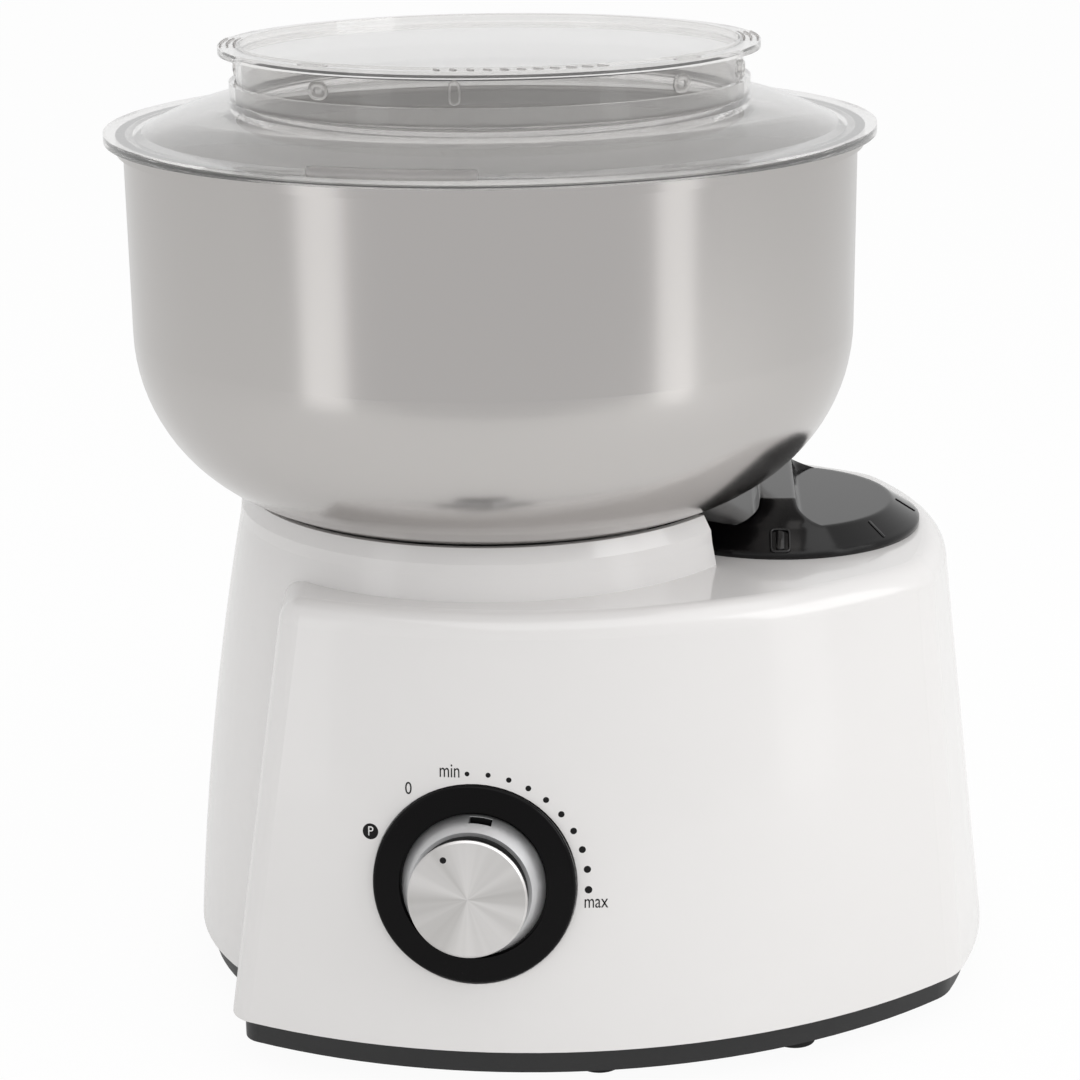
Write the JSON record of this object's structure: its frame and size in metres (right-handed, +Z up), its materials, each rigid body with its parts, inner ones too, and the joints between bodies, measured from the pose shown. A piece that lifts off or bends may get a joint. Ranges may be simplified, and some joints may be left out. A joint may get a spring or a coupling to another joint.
{
  "type": "stand mixer",
  "caption": "Bench-top stand mixer: steel bowl with clear lids on a bowl drive, speed knob in front, and a blender drive under a twist cover.",
  "frame": {"origin": "centre of the overall box, on the plane that the feet stand on", "axes": "+Z up; -Y towards the side with the knob; +X towards the blender drive"},
  "size_m": [0.3319, 0.3001, 0.3596],
  "materials": {
    "white_plastic": "glossy white ABS",
    "black_base": "satin black plastic",
    "rubber": "matt black rubber",
    "cover_black": "glossy black plastic",
    "bezel_black": "glossy black plastic",
    "core_black": "glossy black plastic",
    "knob_chrome": "bright chrome plating",
    "knob_aluminium": "spun aluminium with a radial sheen",
    "bowl_steel": "polished stainless steel",
    "tube_steel": "stainless steel",
    "clear_plastic": "clear plastic",
    "hub_plastic": "black glass-filled nylon",
    "hook_steel": "polished stainless steel",
    "shaft_steel": "ground steel",
    "screw_steel": "zinc-plated steel",
    "gear_plastic": "natural acetal",
    "bush_bronze": "sintered bronze",
    "plate_aluminium": "plain aluminium",
    "lamination": "stacked steel laminations",
    "copper": "enamelled copper",
    "carbon": "pressed carbon",
    "dark_plastic": "dark plastic",
    "board_green": "green circuit board"
  },
  "bodies": {
    "housing": {"upper_housing": "white_plastic", "base_plate": "black_base", "rubber_feet": "rubber", "housing_screws": "screw_steel", "cord_grommet": "rubber", "knob_bezel": "bezel_black", "speed_switch": "dark_plastic", "control_board": "board_green", "heat_sink": "plate_aluminium", "capacitor": "dark_plastic", "coupling_well": "black_base", "spindle_bearings": "shaft_steel", "idler_bearings": "shaft_steel", "idler_bush": "bush_bronze", "spindle_bush": "bush_bronze", "spindle_seal": "rubber", "gear_plate_lower": "plate_aluminium", "gear_plate_upper": "plate_aluminium", "plate_legs": "screw_steel", "plate_spacers": "screw_steel", "plate_screws": "screw_steel", "motor_stator": "lamination", "field_coils": "copper", "motor_bracket_lower": "plate_aluminium", "motor_bracket_upper": "plate_aluminium", "motor_bearings": "shaft_steel", "motor_bolts": "screw_steel", "motor_sleeves": "screw_steel", "mount_rubbers": "rubber", "mount_screws": "screw_steel", "carbon_brushes": "carbon", "brush_holders": "dark_plastic", "drive_belt": "rubber"},
    "rotor": {"motor_shaft": "shaft_steel", "armature_core": "lamination", "armature_winding": "copper", "commutator": "copper", "cooling_fan": "gear_plastic", "motor_pulley": "gear_plastic", "blender_coupling": "hub_plastic"},
    "idler": {"idler_shaft": "shaft_steel", "pinion": "shaft_steel", "large_pulley": "gear_plastic"},
    "spindle": {"drive_spindle": "shaft_steel", "output_gear": "gear_plastic"},
    "bowl": {"mixing_bowl": "bowl_steel", "bowl_tube": "tube_steel", "bowl_base_ring": "tube_steel"},
    "hook": {"hook_hub": "hub_plastic", "hook_arms": "hook_steel"},
    "splash_lid": {"splash_lid": "clear_plastic"},
    "feed_lid": {"feed_lid": "clear_plastic"},
    "cover": {"drive_cover": "cover_black"},
    "knob": {"speed_knob": "knob_chrome", "knob_core": "core_black", "knob_face": "knob_aluminium", "switch_shaft": "shaft_steel"}
  },
  "joints": [
    {"name": "rotor_spin", "type": "hinge", "parent": "housing", "child": "rotor", "pos_m": [0.0836, 0, 0.09], "axis": [0, 0, 1], "continuous": true},
    {"name": "idler_spin", "type": "hinge", "parent": "housing", "child": "idler", "pos_m": [0.01425, 0.06625, 0.05], "axis": [0, 0, 1], "continuous": true},
    {"name": "spindle_spin", "type": "hinge", "parent": "housing", "child": "spindle", "pos_m": [-0.024, 0, 0.1], "axis": [0, 0, 1], "continuous": true},
    {"name": "bowl_lift", "type": "slide", "parent": "housing", "child": "bowl", "axis": [0, 0, 1], "range_m": [0, 0.2]},
    {"name": "hook_spin", "type": "hinge", "parent": "bowl", "child": "hook", "pos_m": [-0.024, 0, 0.24], "axis": [0, 0, 1], "continuous": true},
    {"name": "lid_lift", "type": "slide", "parent": "bowl", "child": "splash_lid", "axis": [0, 0, 1], "range_m": [0, 0.15]},
    {"name": "feed_lid_lift", "type": "slide", "parent": "splash_lid", "child": "feed_lid", "axis": [0, 0, 1], "range_m": [0, 0.08]},
    {"name": "cover_twist", "type": "hinge", "parent": "housing", "child": "cover", "pos_m": [0.0836, 0, 0.18], "axis": [0, 0, 1], "range_deg": [0, 30]},
    {"name": "knob_turn", "type": "hinge", "parent": "housing", "child": "knob", "pos_m": [-0.0343, -0.12809, 0.0798], "axis": [0.1242, 0.9834, -0.1326], "range_deg": [-28, 127]}
  ],
  "couplings": [
    {"joint": "idler_spin", "follows": "rotor_spin", "ratio": 0.24413},
    {"joint": "spindle_spin", "follows": "rotor_spin", "ratio": -0.048825},
    {"joint": "hook_spin", "follows": "rotor_spin", "ratio": -0.048825}
  ]
}
